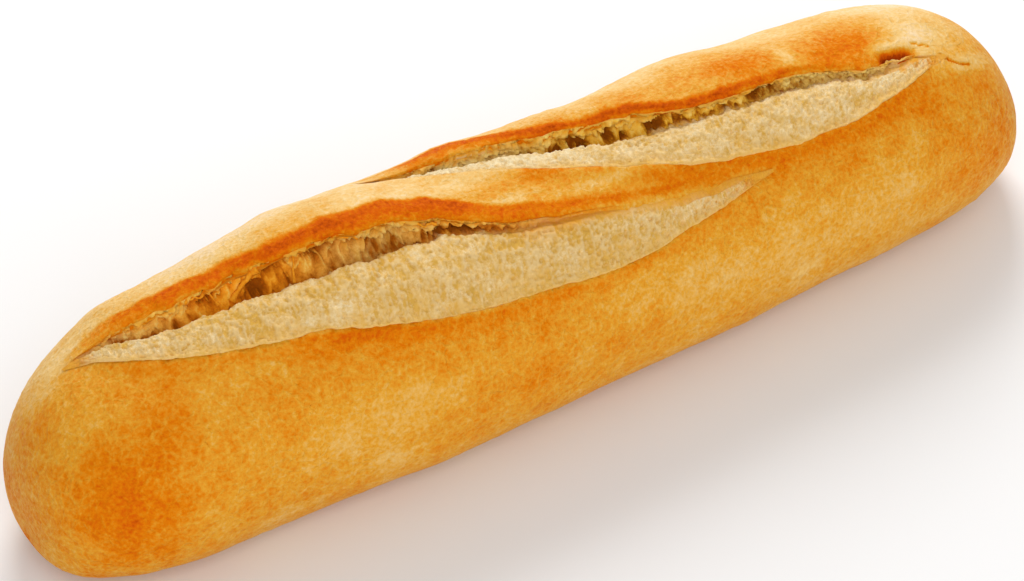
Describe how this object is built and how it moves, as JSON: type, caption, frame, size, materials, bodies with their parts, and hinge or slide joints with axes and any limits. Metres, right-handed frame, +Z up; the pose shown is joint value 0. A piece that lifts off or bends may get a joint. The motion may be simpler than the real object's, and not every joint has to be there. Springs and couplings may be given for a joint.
{
  "type": "baguette",
  "caption": "Short crusty stick loaf with round blunt ends, a flat base and two long overlapping slashes whose crust stands up as ears over open beds of crumb.",
  "frame": {"origin": "on the floor, under the middle of the loaf", "axes": "+X along the loaf towards the end of the second slash, -Y towards the side the slash beds face, +Z up"},
  "size_m": [0.26, 0.0665, 0.0588],
  "materials": {
    "crust": "matt baked crust, golden brown, with pale torn crumb in the slashes"
  },
  "bodies": {
    "root": {"loaf": "crust"}
  },
  "joints": []
}
